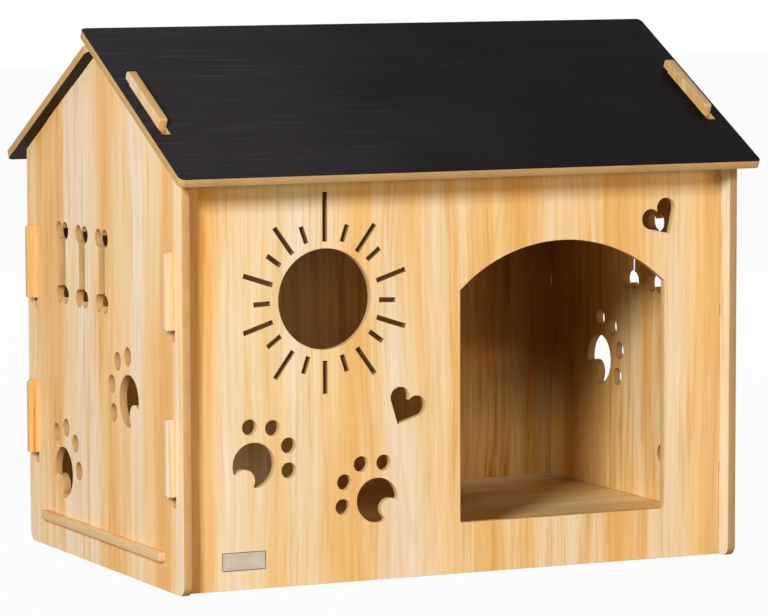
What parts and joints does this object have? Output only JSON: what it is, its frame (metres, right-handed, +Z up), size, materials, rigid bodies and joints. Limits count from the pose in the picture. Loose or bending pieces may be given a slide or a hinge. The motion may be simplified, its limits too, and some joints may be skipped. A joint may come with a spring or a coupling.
{
  "type": "wooden dog kennel",
  "caption": "Flat-pack indoor pet house with a lapped gable roof, an arched doorway, cut-out ornament and slot-and-hook joints.",
  "frame": {"origin": "on the ground under the middle of the kennel, at the bottom centre of its box", "axes": "+X along the ridge to the right seen from the front, +Y from the front wall to the back wall, +Z up"},
  "size_m": [0.677, 0.513, 0.5788],
  "materials": {
    "wood_laminate": "satin printed wood grain on fibreboard",
    "black_laminate": "satin black grained laminate on fibreboard"
  },
  "bodies": {
    "root": {"front_panel": "wood_laminate", "back_panel": "wood_laminate", "left_side_panel": "wood_laminate", "right_side_panel": "wood_laminate", "floor_panel": "wood_laminate", "rear_roof_panel": "black_laminate"},
    "front_roof": {"front_roof_panel": "black_laminate"}
  },
  "joints": [
    {"name": "front_roof_slide", "type": "slide", "parent": "root", "child": "front_roof", "axis": [0, 0.8862, 0.4633], "range_m": [0, 0.0125]}
  ]
}
